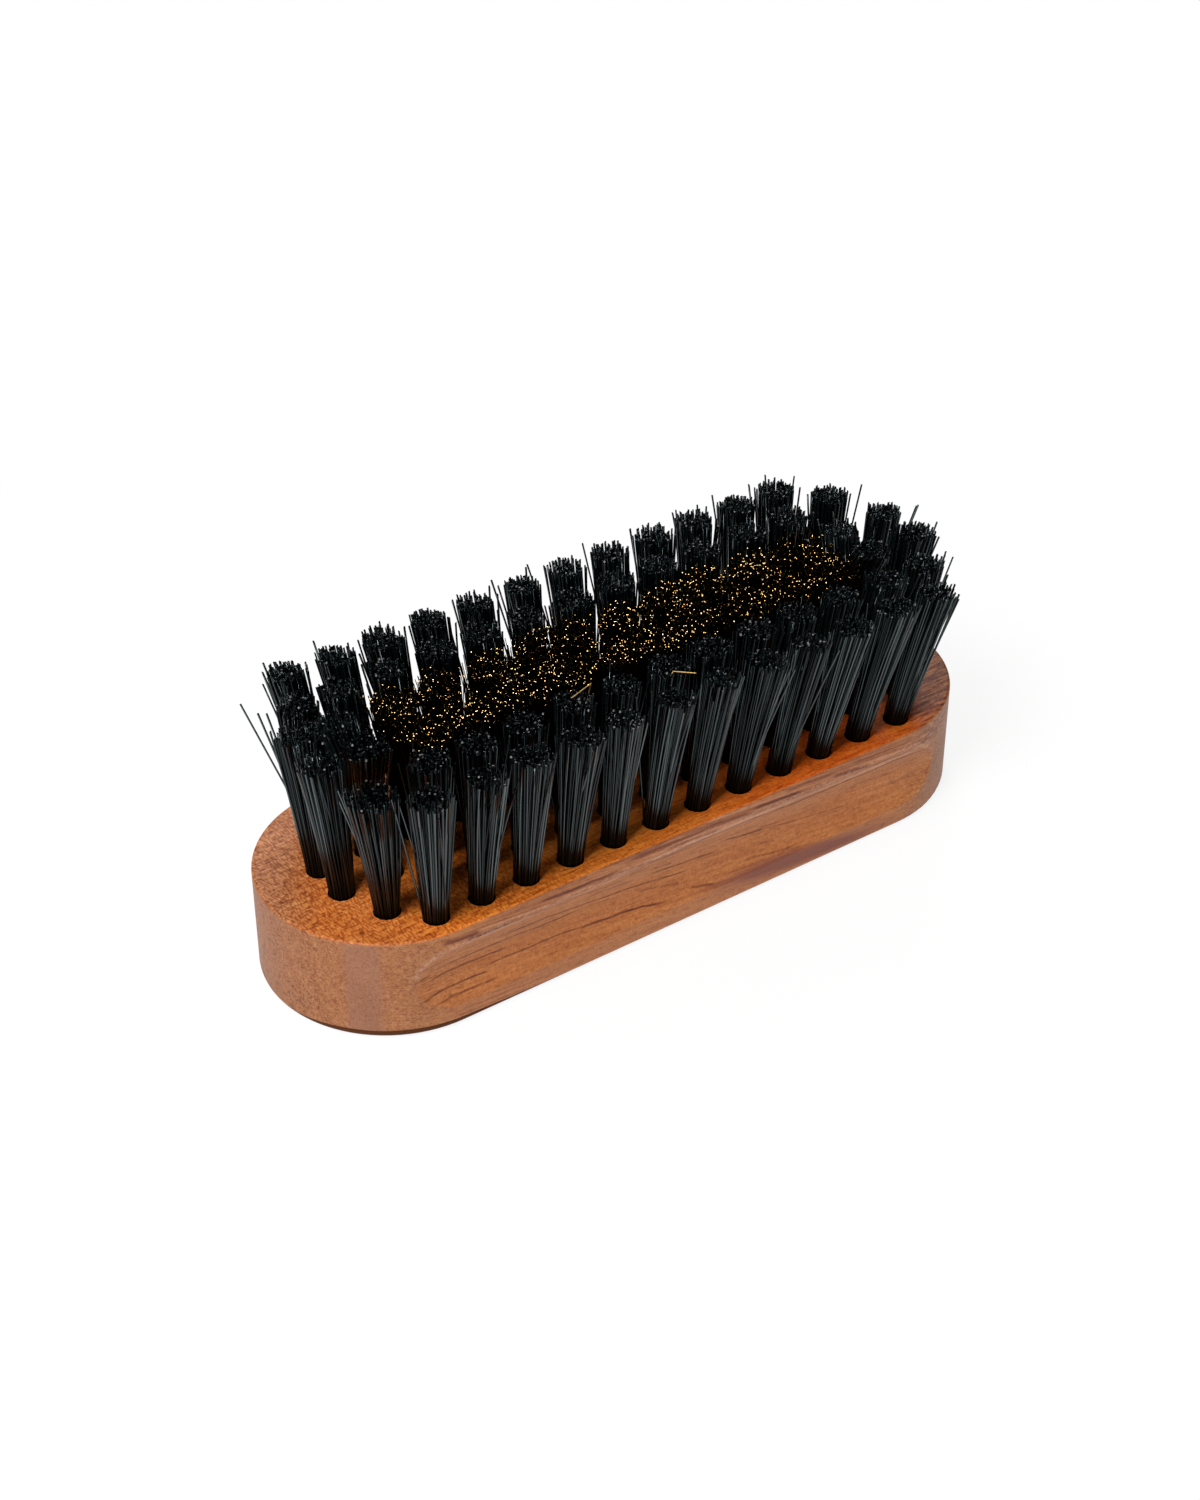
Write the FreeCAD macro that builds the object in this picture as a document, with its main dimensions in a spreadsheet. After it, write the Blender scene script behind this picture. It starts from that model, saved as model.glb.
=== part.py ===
"""Suede brush, in millimetres.

A wooden block, rounded at both ends and grooved along its long sides for the fingers, carries six
rows of tufts in blind holes. The tufts of the two outer rings are nylon, and those of the core are
brass wire. Each tuft is folded round a flat wire anchor near the bottom of its hole, and the ends
of the anchor bite into the wood.

Frame: +Z up out of the bristles, X along the block, Y across it. The origin is the middle of the
flat back, which the brush rests on.
"""
import FreeCAD, Part
import math
import os
from enum import IntEnum

import Sketcher
from FreeCAD import Base

DRIVING_SIZES = {
    # Handle block
    "block_length": 110.4,
    "block_width": 36.2,
    "block_height": 15.9,
    "face_edge_radius": 0.4,
    "back_edge_radius": 0.9,
    # Finger groove, a cove along each long side
    "groove_depth": 1.25,
    "groove_radius": 10.6,
    "groove_height": 8.35,
    # Blind holes for the tufts
    "hole_diameter": 3.7,
    "back_wall": 6.0,
    # Tuft field: rows along the block, closed at each end by tufts on a curve
    "row_count": 6,
    "outer_count": 12,
    "side_margin": 3.9,
    "end_margin": 9.3,
    "end_step": 7.4,
    "corner_along_share": 0.62,
    "corner_across_share": 0.59,
    # Tufts, which flare and fan out towards their trimmed tips, the front rows combed to the right
    "nylon_length": 21.7,
    "brass_length": 21.2,
    "tuft_clearance": 0.05,
    "tip_gap": 1.85,
    "crown_height": 0.8,
    "crown_inset": 0.6,
    "lean_along_share": 0.065,
    "lean_across_share": 0.21,
    "comb_shift": 0.4,
    "comb_skew_share": 0.055,
    # Ridges of a tuft, which stand for its outer strands
    "ridge_count": 12,
    "valley_share": 0.66,
    # Flat wire anchors
    "anchor_bite": 0.5,
    "anchor_thickness": 0.35,
    "anchor_depth": 1.7,
    "fold_depth": 0.8,
    # How far a cutting tool runs past the face that it enters
    "cut_overrun": 1.0,
}

# Derived places, as expressions on the sheet
PITCH = "(2 * (Sizes.block_length / 2 - Sizes.end_margin - Sizes.end_step) / (Sizes.outer_count - 1))"
ROW_STEP = "((Sizes.block_width - 2 * Sizes.side_margin) / (Sizes.row_count - 1))"
OUTER_ROW = f"((Sizes.row_count - 1) / 2 * {ROW_STEP})"
INNER_ROW = f"({OUTER_ROW} - {ROW_STEP})"
CORE_ROW = f"({INNER_ROW} - {ROW_STEP})"
ROW_END = f"((Sizes.outer_count - 1) / 2 * {PITCH})"
END_ALONG = f"({ROW_END} + Sizes.end_step)"
CORNER_ALONG = f"({ROW_END} + Sizes.corner_along_share * Sizes.end_step)"
CORNER_ACROSS = f"({CORE_ROW} + Sizes.corner_across_share * ({OUTER_ROW} - {CORE_ROW}))"
HOLE_RADIUS = "Sizes.hole_diameter / 2"
ROOT_RADIUS = f"{HOLE_RADIUS} - Sizes.tuft_clearance"
TIP_RADIUS = f"({PITCH} * (1 + Sizes.lean_along_share) - Sizes.tip_gap) / 2"
CROWN_RADIUS = f"{TIP_RADIUS} - Sizes.crown_inset"
ANCHOR_LENGTH = "(Sizes.hole_diameter + 2 * Sizes.anchor_bite)"

SIDES = (("front", -1), ("back", 1))
ENDS = (("left", -1), ("right", 1))
NORMAL = Base.Vector(0, 0, 1)


class SketchAxis(IntEnum):
    """How a sketch numbers its own two axes."""

    FIRST = -1
    SECOND = -2


class CurvePoint(IntEnum):
    """How a sketch numbers the points of a curve."""

    START = 1
    FINISH = 2
    CENTRE = 3


SKETCH_ORIGIN = (SketchAxis.FIRST, CurvePoint.START)

doc = FreeCAD.newDocument("SuedeBrush")


def make_sheet():
    """Write the driving sizes into the sheet, one named cell each."""
    sheet = doc.addObject("Spreadsheet::Sheet", "Sizes")
    for row, (alias, value) in enumerate(DRIVING_SIZES.items(), start=1):
        sheet.set(f"A{row}", alias)
        sheet.set(f"B{row}", str(value))
        sheet.setAlias(f"B{row}", alias)
    doc.recompute()
    return sheet


def bind(item, **expressions):
    """Bind an object's properties to expressions on the sheet."""
    for name, expression in expressions.items():
        item.setExpression(name, expression)


def place(item, along, across, up):
    """Bind the place of an object's own origin."""
    for axis, expression in zip("xyz", (along, across, up)):
        item.setExpression(f"Placement.Base.{axis}", expression)


def new_sketch(body, name, role):
    """Start a sketch on one of the body's own origin planes."""
    sketch = body.newObject("Sketcher::SketchObject", name)
    plane = next(item for item in body.Origin.OriginFeatures if item.Role == role)
    sketch.AttachmentSupport = (plane, "")
    sketch.MapMode = "FlatFace"
    return sketch


def constrain(sketch, *terms):
    """Add one constraint to a sketch and return its index."""
    return sketch.addConstraint(Sketcher.Constraint(*terms))


def named_constraint(sketch, name, expression, *terms):
    """Add a dimension to a sketch and bind it to the sheet."""
    index = constrain(sketch, *terms)
    sketch.renameConstraint(index, name)
    sketch.setExpression(f"Constraints.{name}", expression)


def edges_level_with(feature, up):
    """Name the edges of a feature that lie flat at a height."""
    flat = []
    for number, edge in enumerate(feature.Shape.Edges, start=1):
        box = edge.BoundBox
        if max(abs(box.ZMin - up), abs(box.ZMax - up)) < Base.Precision.approximation():
            flat.append(f"Edge{number}")
    return flat


def make_group(label, members):
    """Several separate solids in one node."""
    group = doc.addObject("Part::Compound", label)
    group.Links = members
    return group


def cut(name, base, tool):
    """One solid with another taken out of it."""
    result = doc.addObject("Part::Cut", name)
    result.Base = base
    result.Tool = tool
    return result


def draw_outline(body, sheet):
    """Plan of the block: two straight sides and two half-round ends."""
    sketch = new_sketch(body, "outline", "XY_Plane")
    half_width = sheet.block_width / 2
    half_straight = sheet.block_length / 2 - half_width
    quarter_turn = math.pi / 2
    front_left, front_right, back_right, back_left = (
        Base.Vector(along * half_straight, across * half_width)
        for along, across in ((-1, -1), (1, -1), (1, 1), (-1, 1))
    )
    right_end = Part.Circle(Base.Vector(half_straight, 0), NORMAL, half_width)
    left_end = Part.Circle(Base.Vector(-half_straight, 0), NORMAL, half_width)
    curves = (
        Part.LineSegment(front_left, front_right),
        Part.ArcOfCircle(right_end, -quarter_turn, quarter_turn),
        Part.LineSegment(back_right, back_left),
        Part.ArcOfCircle(left_end, quarter_turn, 3 * quarter_turn),
    )
    loop = [sketch.addGeometry(curve) for curve in curves]
    _, right, _, left = loop
    for this, after in zip(loop, loop[1:] + loop[:1]):
        constrain(sketch, "Tangent", this, CurvePoint.FINISH, after, CurvePoint.START)
    constrain(sketch, "PointOnObject", right, CurvePoint.CENTRE, SketchAxis.FIRST)
    constrain(sketch, "Symmetric", right, CurvePoint.CENTRE, left, CurvePoint.CENTRE, *SKETCH_ORIGIN)
    constrain(sketch, "Equal", right, left)
    named_constraint(sketch, "end_radius", "Sizes.block_width / 2", "Radius", right, half_width)
    named_constraint(
        sketch, "end_centre", "(Sizes.block_length - Sizes.block_width) / 2",
        "DistanceX", *SKETCH_ORIGIN, right, CurvePoint.CENTRE, half_straight,
    )
    return sketch


def draw_grooves(body, sheet):
    """Cross-section of the finger grooves: one round cutter beside each long side."""
    sketch = new_sketch(body, "groove_section", "YZ_Plane")
    out = sheet.block_width / 2 - sheet.groove_depth + sheet.groove_radius
    cutters = []
    for _, sign in SIDES:
        centre = Base.Vector(sign * out, sheet.groove_height)
        cutters.append(sketch.addGeometry(Part.Circle(centre, NORMAL, sheet.groove_radius)))
    front, back = cutters
    constrain(sketch, "Equal", front, back)
    constrain(sketch, "Symmetric", front, CurvePoint.CENTRE, back, CurvePoint.CENTRE, SketchAxis.SECOND)
    named_constraint(sketch, "cutter_radius", "Sizes.groove_radius", "Radius", back, sheet.groove_radius)
    named_constraint(
        sketch, "cutter_out", "Sizes.block_width / 2 - Sizes.groove_depth + Sizes.groove_radius",
        "DistanceX", *SKETCH_ORIGIN, back, CurvePoint.CENTRE, out,
    )
    named_constraint(
        sketch, "cutter_up", "Sizes.groove_height",
        "DistanceY", *SKETCH_ORIGIN, back, CurvePoint.CENTRE, sheet.groove_height,
    )
    return sketch


def make_blank(sheet):
    """The block before drilling: outline, rounded edges and finger grooves."""
    body = doc.addObject("PartDesign::Body", "block_blank")
    pad = body.newObject("PartDesign::Pad", "thickness")
    pad.Profile = draw_outline(body, sheet)
    bind(pad, Length="Sizes.block_height")
    doc.recompute()
    feature = pad
    edges = (("back_edge", 0, "back_edge_radius"), ("face_edge", sheet.block_height, "face_edge_radius"))
    for name, up, radius in edges:
        rounding = body.newObject("PartDesign::Fillet", name)
        rounding.Base = (feature, edges_level_with(feature, up))
        bind(rounding, Radius=f"Sizes.{radius}")
        doc.recompute()
        feature = rounding
    grooves = body.newObject("PartDesign::Pocket", "finger_grooves")
    grooves.Profile = draw_grooves(body, sheet)
    grooves.SideType = "Symmetric"
    grooves.Type = "ThroughAll"
    doc.recompute()
    if grooves.Shape.Volume >= feature.Shape.Volume:
        raise RuntimeError("the finger grooves cut nothing")
    return body


def tuft_places(sheet):
    """Give each tuft's node, free length, and place along and across the block."""
    outer_count = int(sheet.outer_count)
    inner_count = outer_count - 1
    core_count = outer_count - 2
    for side, sign in SIDES:
        for number in range(outer_count):
            along = f"{number - (outer_count - 1) / 2} * {PITCH}"
            yield f"outer_tuft_{side}_{number + 1:02d}", "nylon_length", along, f"{sign} * {OUTER_ROW}"
        for number in range(inner_count):
            along = f"{number - (inner_count - 1) / 2} * {PITCH}"
            yield f"inner_tuft_{side}_{number + 1:02d}", "nylon_length", along, f"{sign} * {INNER_ROW}"
        for number in range(core_count):
            along = f"{number - (core_count - 1) / 2} * {PITCH}"
            yield f"brass_tufts_{side}_row", "brass_length", along, f"{sign} * {CORE_ROW}"
    for end, sign in ENDS:
        curve = (
            (CORNER_ALONG, f"-1 * {CORNER_ACROSS}"),
            (END_ALONG, f"-1 * {CORE_ROW}"),
            (END_ALONG, CORE_ROW),
            (CORNER_ALONG, CORNER_ACROSS),
        )
        for number, (along, across) in enumerate(curve, start=1):
            yield f"outer_tuft_{end}_{number}", "nylon_length", f"{sign} * {along}", across
        for _, across_sign in SIDES:
            yield f"inner_tufts_{end}", "nylon_length", f"{sign} * {ROW_END}", f"{across_sign} * {CORE_ROW}"


def make_hole(name, along, across):
    """Drill for one blind hole."""
    hole = doc.addObject("Part::Cylinder", f"hole_{name}")
    bind(hole, Radius=HOLE_RADIUS, Height="Sizes.block_height - Sizes.back_wall + Sizes.cut_overrun")
    place(hole, along, across, "Sizes.back_wall")
    return hole


def make_anchor(name, along, across):
    """Flat wire that holds one tuft down, lying along the block across its hole."""
    anchor = doc.addObject("Part::Box", f"anchor_{name}")
    bind(anchor, Length=ANCHOR_LENGTH, Width="Sizes.anchor_thickness", Height="Sizes.anchor_depth")
    place(
        anchor, f"{along} - {ANCHOR_LENGTH} / 2", f"{across} - Sizes.anchor_thickness / 2",
        "Sizes.back_wall + Sizes.fold_depth",
    )
    return anchor


def ridged_outline(sheet, radius):
    """Closed outline with ridges that reach the radius and a valley between each two."""
    corner_count = 2 * int(sheet.ridge_count)
    corners = []
    for number in range(corner_count + 1):
        turn = 2 * math.pi * number / corner_count
        reach = radius * sheet.valley_share if number % 2 else radius
        corners.append(Base.Vector(reach * math.cos(turn), reach * math.sin(turn)))
    return Part.makePolygon(corners)


def make_tuft(sheet, name, free_length, along, across, anchor):
    """One tuft: a ridged root in the hole, then a bundle that flares and leans out to its crown."""
    comb = f"Sizes.comb_shift - Sizes.comb_skew_share * {across}"
    tip_along = f"{along} * (1 + Sizes.lean_along_share) + {comb}"
    tip_across = f"{across} * (1 + Sizes.lean_across_share)"
    tip = f"Sizes.block_height + Sizes.{free_length}"
    sections = (
        ("foot", ROOT_RADIUS, along, across, "Sizes.back_wall"),
        ("mouth", ROOT_RADIUS, along, across, "Sizes.block_height"),
        ("shoulder", TIP_RADIUS, tip_along, tip_across, f"{tip} - Sizes.crown_height"),
        ("crown", CROWN_RADIUS, tip_along, tip_across, tip),
    )
    rings = []
    for section, radius, ring_along, ring_across, up in sections:
        ring = doc.addObject("Part::Feature", f"{section}_{name}")
        ring.Shape = ridged_outline(sheet, sheet.evalExpression(radius))
        place(ring, ring_along, ring_across, up)
        rings.append(ring)
    bundle = doc.addObject("Part::Loft", f"bundle_{name}")
    bundle.Sections = rings
    bundle.Solid = True
    bundle.Ruled = True
    return cut(f"tuft_{name}", bundle, anchor)


def make_brush():
    """Build every sub-part and return the finished objects, each labelled with its node's name."""
    sheet = make_sheet()
    holes, anchors, tufts = [], [], {}
    for number, (node, free_length, along, across) in enumerate(tuft_places(sheet), start=1):
        holes.append(make_hole(number, along, across))
        anchors.append(make_anchor(number, along, across))
        tuft = make_tuft(sheet, number, free_length, along, across, anchors[-1])
        tufts.setdefault(node, []).append(tuft)
    staples = make_group("anchor_staples", anchors)
    drilled = cut("drilled_block", make_blank(sheet), make_group("holes", holes))
    block = cut("handle_block", drilled, staples)
    nodes = [block, staples]
    for node, members in tufts.items():
        finished = members[0] if len(members) == 1 else make_group(node, members)
        finished.Label = node
        nodes.append(finished)
    doc.recompute()
    return nodes


def check(nodes):
    """Stop if any object failed or any sub-part is not a set of sound solids."""
    for item in doc.Objects:
        if "Invalid" in item.State or "Error" in item.State:
            raise RuntimeError(f"{item.Label} failed: {item.State}")
    for node in nodes:
        shape = node.Shape
        if shape.isNull() or not shape.isValid() or not shape.Solids:
            raise RuntimeError(f"{node.Label} has no sound solid")


def write(nodes):
    """Write each sub-part to a file named after its label."""
    os.makedirs("parts", exist_ok=True)
    for node in nodes:
        node.Shape.exportStep(f"parts/{node.Label}.step")
    solids = sum(len(node.Shape.Solids) for node in nodes)
    print(f"{len(nodes)} nodes, {solids} solids")


brush = make_brush()
check(brush)
write(brush)
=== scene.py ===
"""Looks of the suede brush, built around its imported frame, in metres.

The wooden block keeps its solid and gets a procedural wood. Every tuft's solid is replaced by a bundle
of separate filaments: black nylon in the two rings, brass wire in the core.
"""
import math
from dataclasses import dataclass

import bpy
import numpy as np
from mathutils import Matrix, Vector


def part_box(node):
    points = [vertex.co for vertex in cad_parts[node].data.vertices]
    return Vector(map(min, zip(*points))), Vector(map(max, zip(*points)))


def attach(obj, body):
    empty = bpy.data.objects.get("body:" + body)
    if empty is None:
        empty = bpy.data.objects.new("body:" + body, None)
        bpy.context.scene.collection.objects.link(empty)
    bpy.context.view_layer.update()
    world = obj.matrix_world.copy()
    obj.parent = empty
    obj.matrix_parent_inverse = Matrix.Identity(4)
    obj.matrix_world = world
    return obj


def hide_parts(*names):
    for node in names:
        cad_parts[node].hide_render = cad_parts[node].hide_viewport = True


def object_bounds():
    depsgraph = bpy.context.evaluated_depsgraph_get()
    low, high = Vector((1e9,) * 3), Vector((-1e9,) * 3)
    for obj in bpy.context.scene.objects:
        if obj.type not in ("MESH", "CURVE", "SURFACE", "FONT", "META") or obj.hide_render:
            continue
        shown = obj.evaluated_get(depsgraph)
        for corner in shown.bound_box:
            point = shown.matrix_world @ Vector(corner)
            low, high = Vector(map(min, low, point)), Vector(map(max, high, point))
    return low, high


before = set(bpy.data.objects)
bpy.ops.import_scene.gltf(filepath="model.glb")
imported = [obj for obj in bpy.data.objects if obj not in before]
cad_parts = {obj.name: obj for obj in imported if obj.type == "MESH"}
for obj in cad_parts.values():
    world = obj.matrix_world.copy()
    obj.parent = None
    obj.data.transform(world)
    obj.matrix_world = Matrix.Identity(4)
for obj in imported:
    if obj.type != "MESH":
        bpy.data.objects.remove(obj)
cad_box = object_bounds()

MM = 0.001

# The block, read from the frame
BLOCK_LOW, BLOCK_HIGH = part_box("handle_block")
FACE = BLOCK_HIGH.z
HALF_WIDTH = BLOCK_HIGH.y
END_CENTRE = BLOCK_HIGH.x - HALF_WIDTH
ANCHOR_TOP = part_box("anchor_staples")[1].z

# Finger grooves and tuft holes, as the block has them
GROOVE_DEPTH = 1.25 * MM
GROOVE_RADIUS = 10.6 * MM
GROOVE_HEIGHT = 8.35 * MM
HOLE_RADIUS = 1.85 * MM

# Camera, as the photograph's view was solved
CAMERA_AZIMUTH = math.radians(-35.02)
CAMERA_ELEVATION = math.radians(36.10)
CAMERA_DISTANCE = 386.1 * MM
CAMERA_RIGHT = -2.249 * MM
CAMERA_UP = 1.669 * MM
CAMERA_LENS_MM = 66.72
CAMERA_CLIP = 10 * MM


# Filament bundles

@dataclass
class Strand:
    """How one kind of tuft is filled with filaments."""

    count: int
    radius: float
    sides: int
    tip_spread: float
    spread_shares: tuple
    lean_jitter: float
    levels: tuple
    fan_power: float
    tip_jitter: float
    length_jitter: float
    bow: float
    crimp: float
    crimp_length: float
    stray_share: float
    stray_reach: float
    stray_rise: float
    cut_slope: float


NYLON = Strand(
    count=124,
    radius=0.145 * MM,
    sides=6,
    tip_spread=2.8 * MM,
    spread_shares=(0.92, 1.12),
    lean_jitter=0.15 * MM,
    levels=(0.0, 0.1, 0.25, 0.45, 0.7, 1.0),
    fan_power=1.1,
    tip_jitter=0.22 * MM,
    length_jitter=0.08 * MM,
    bow=0.08 * MM,
    crimp=0.0,
    crimp_length=1.0 * MM,
    stray_share=0.09,
    stray_reach=1.3 * MM,
    stray_rise=0.5 * MM,
    cut_slope=0.5,
)

BRASS = Strand(
    count=285,
    radius=0.063 * MM,
    sides=5,
    tip_spread=3.75 * MM,
    spread_shares=(0.95, 1.1),
    lean_jitter=0.3 * MM,
    levels=(0.0, 0.25, 0.5, 0.75, 1.0),
    fan_power=1.2,
    tip_jitter=0.6 * MM,
    length_jitter=0.30 * MM,
    bow=0.2 * MM,
    crimp=0.07 * MM,
    crimp_length=4.2 * MM,
    stray_share=0.05,
    stray_reach=0.9 * MM,
    stray_rise=0.3 * MM,
    cut_slope=0.2,
)


@dataclass
class Splay:
    """How one tuft differs from the rest, in millimetres from the crown of its solid.

    Its tips are shifted along and across, they spread by a share of what is usual, and each loose
    strand goes through points of its own.
    """

    shift: tuple = (0.0, 0.0)
    spread_share: float = 1.0
    loose: tuple = ()


# Tufts that stand out, by node and number in the node
SPLAYS = {
    ("outer_tuft_left_1", 0): Splay(
        (-1.2, -0.8), 1.2,
        loose=(((-3.4, 3.2, -0.6),), ((-4.2, 1.6, -1.0),)),
    ),
    ("outer_tuft_left_2", 0): Splay((0.3, 0.2), 1.12),
    ("outer_tuft_left_3", 0): Splay((1.8, 0.9), 1.1),
    ("outer_tuft_left_4", 0): Splay(
        (2.3, -1.5), 1.0,
        loose=(((-2.6, 4.7, -1.6),), ((-2.1, 0.9, -1.1),), ((-1.5, -0.4, -0.6),)),
    ),
    ("outer_tuft_front_01", 0): Splay(
        (-0.6, 0.0), 1.15,
        loose=(((-3.7, 2.5, -0.6),), ((-3.0, 0.6, -0.9),)),
    ),
    ("outer_tuft_front_05", 0): Splay((-0.9, 0.0)),
    ("outer_tuft_front_12", 0): Splay((-0.5, 0.2), loose=(((2.4, 0.6, -0.6),), ((2.0, 1.4, -0.3),))),
    ("outer_tuft_right_1", 0): Splay((-1.7, 0.8), loose=(((2.8, 0.2, -0.2),), ((2.0, 1.0, 0.1),))),
    ("outer_tuft_right_2", 0): Splay(loose=(((3.8, -0.2, 0.4),), ((1.6, -3.2, 0.2),))),
    ("outer_tuft_right_3", 0): Splay(loose=(((5.2, -1.7, 0.2),), ((4.7, -1.9, 0.3),))),
    ("outer_tuft_right_4", 0): Splay(loose=(((2.5, -0.8, 0.0),),)),
    ("outer_tuft_back_01", 0): Splay(
        loose=(((-2.3, 1.5, -0.3),), ((-0.1, 1.8, 0.4),), ((2.3, 0.1, 0.4),)),
    ),
    ("outer_tuft_back_06", 0): Splay(loose=(((-2.8, 3.0, 0.2),), ((2.6, 2.5, 0.6),))),
    ("outer_tuft_back_11", 0): Splay(loose=(((-1.9, 3.2, 0.6),),)),
    ("outer_tuft_back_12", 0): Splay(loose=(((3.5, 0.4, 0.8),),)),
    ("inner_tufts_left", 0): Splay((-0.8, 0.0), 1.2),
    ("inner_tufts_left", 1): Splay((-0.8, 0.0), 1.2),
    ("brass_tufts_front_row", 3): Splay(loose=(((0.6, -4.9, 0.8), (-3.4, -6.2, 0.8)),)),
    ("brass_tufts_front_row", 4): Splay(loose=(((3.6, -8.8, 0.8), (5.8, -10.9, 0.8)),)),
}

# How the end rings of a node's solids are told apart
RING_REACH = 1.5 * MM
LEVEL = 0.01 * MM

# How strands fill a tuft, and the room that single tips have past the solids
GOLDEN_TURN = math.pi * (3 - math.sqrt(5))
HOLE_FILL_SHARE = 0.97
RADIUS_SHARES = (0.9, 1.08)
TIP_ROOM = 0.9 * MM
TIP_EDGE = 0.05 * MM

# Loose strands: the top of the tones is theirs alone, and a bent one turns at this share of its length
LOOSE_TONE_ROOM = 0.05
LOOSE_BEND_SHARE = 0.75

# Shares of a filament's cell on the texture map
MAP_WALL_SHARE = 0.8
MAP_CAP_SHARE = 0.12
MAP_MARGIN_SHARE = 0.04
MAP_FOOT_SHARE = 0.25
MAP_TIP_SHARE = 0.75


def ring_centres(points):
    """Middle of each separate ring among points that lie level, sorted along and across the block."""
    centres = []
    while len(points):
        ring = np.zeros(len(points), bool)
        ring[0] = True
        size = 0
        while ring.sum() > size:
            size = ring.sum()
            apart = np.linalg.norm(points[:, None] - points[None, ring], axis=2)
            ring = apart.min(axis=1) < RING_REACH
        group = points[ring]
        centres.append((group.min(axis=0) + group.max(axis=0)) / 2)
        points = points[~ring]
    return sorted(centres, key=lambda c: (round(c[0], 4), c[1]))


def tufts_of(node):
    """(foot, crown) of every tuft in a node, each the middle of its end ring."""
    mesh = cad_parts[node].data
    points = np.empty(len(mesh.vertices) * 3, np.float32)
    mesh.vertices.foreach_get("co", points)
    points = np.unique(points.reshape(-1, 3).round(6), axis=0)
    low, high = points[:, 2].min(), points[:, 2].max()
    feet = ring_centres(points[points[:, 2] < low + LEVEL])
    crowns = ring_centres(points[points[:, 2] > high - LEVEL])
    return list(zip(feet, crowns))


def strand_lines(rng, foot, crown, kind, splay):
    """Centre line of each filament of a tuft, as (filament, level, xyz), with its share of the rise."""
    order = np.arange(kind.count)
    reach = np.sqrt((order + 0.5) / kind.count)
    turn = order * GOLDEN_TURN + rng.uniform(0, 2 * math.pi)
    disc = np.stack([reach * np.cos(turn), reach * np.sin(turn)], axis=1)
    root = foot[:2] + disc * (HOLE_RADIUS * HOLE_FILL_SHARE - kind.radius)
    spread = kind.tip_spread * splay.spread_share * rng.uniform(*kind.spread_shares) - kind.radius
    middle = crown[:2] + np.array(splay.shift) * MM + rng.normal(0, kind.lean_jitter, 2)
    tip = middle + disc * spread
    tip = tip + rng.normal(0, kind.tip_jitter, tip.shape)
    top = crown[2] + rng.normal(0, kind.length_jitter, kind.count)
    stray = rng.random(kind.count) < kind.stray_share
    tip = tip + stray[:, None] * rng.normal(0, kind.stray_reach, tip.shape)
    top = top + stray * rng.uniform(-1, 1, kind.count) * kind.stray_rise
    tip = np.clip(tip, np.array(cad_box[0][:2]) - TIP_ROOM, np.array(cad_box[1][:2]) + TIP_ROOM)
    top = np.minimum(top, cad_box[1][2] + TIP_ROOM)
    bow = rng.normal(0, kind.bow, tip.shape)
    phase = rng.uniform(0, 2 * math.pi, (kind.count, 2))
    rise = np.array(kind.levels)
    lean = rise ** kind.fan_power
    flat = root[:, None] + (tip - root)[:, None] * lean[None, :, None]
    flat = flat + bow[:, None] * np.sin(math.pi * rise)[None, :, None]
    up = FACE + (top - FACE)[:, None] * rise[None, :]
    wave = 2 * math.pi * up[:, :, None] / kind.crimp_length + phase[:, None]
    flat = flat + kind.crimp * np.sin(wave) * rise[None, :, None]
    line = np.concatenate([flat, up[:, :, None]], axis=2)
    for index, path in enumerate(splay.loose):
        line[index] = loose_line(np.array([*root[index], FACE]), crown, path, rise)
    start = np.concatenate([root, np.full((kind.count, 1), ANCHOR_TOP)], axis=1)
    last = line[:, -1] - line[:, -2]
    edge = line[:, -1] - last * (TIP_EDGE / np.linalg.norm(last, axis=1, keepdims=True))
    line = np.concatenate([start[:, None], line[:, :-1], edge[:, None], line[:, -1:]], axis=1)
    return line, np.concatenate([[0.0], rise, [1.0]])


def loose_line(root, crown, path, rise):
    """Centre line of a loose strand from its root through the points of its path."""
    points = np.concatenate([[root], crown + np.array(path) * MM])
    reached = np.concatenate([[0.0], np.linspace(1.0, LOOSE_BEND_SHARE, len(path))[::-1]])
    return np.stack([np.interp(rise, reached, part) for part in points.T], axis=1)


def square_rings(line, rim):
    """Points round one loose strand, square to its centre line at every level."""
    ahead = np.gradient(line, axis=0)
    ahead /= np.linalg.norm(ahead, axis=1, keepdims=True)
    across = np.cross(ahead, (0.0, 1.0, 0.0))
    across /= np.linalg.norm(across, axis=1, keepdims=True)
    beside = np.cross(ahead, across)
    return line[:, None] + rim[None, :, :1] * across[:, None] + rim[None, :, 1:2] * beside[:, None]


def strand_rings(rng, line, kind, loose_count):
    """Points round each centre line, as (filament, level, side, xyz).

    The rings lie level, with a slanting cut at the tip; those of loose strands are square to their lines.
    """
    count = len(line)
    turn = rng.uniform(0, 2 * math.pi, (count, 1)) + np.arange(kind.sides) * 2 * math.pi / kind.sides
    radius = kind.radius * rng.uniform(*RADIUS_SHARES, (count, 1))
    rim = np.stack([radius * np.cos(turn), radius * np.sin(turn), np.zeros_like(turn)], axis=2)
    rings = line[:, :, None] + rim[:, None]
    slope = rng.normal(0, kind.cut_slope, (count, 1, 2))
    rings[:, -1, :, 2] += (rim[:, :, :2] * slope).sum(axis=2)
    for index in range(loose_count):
        rings[index] = square_rings(line[index], rim[index])
    return rings


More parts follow.
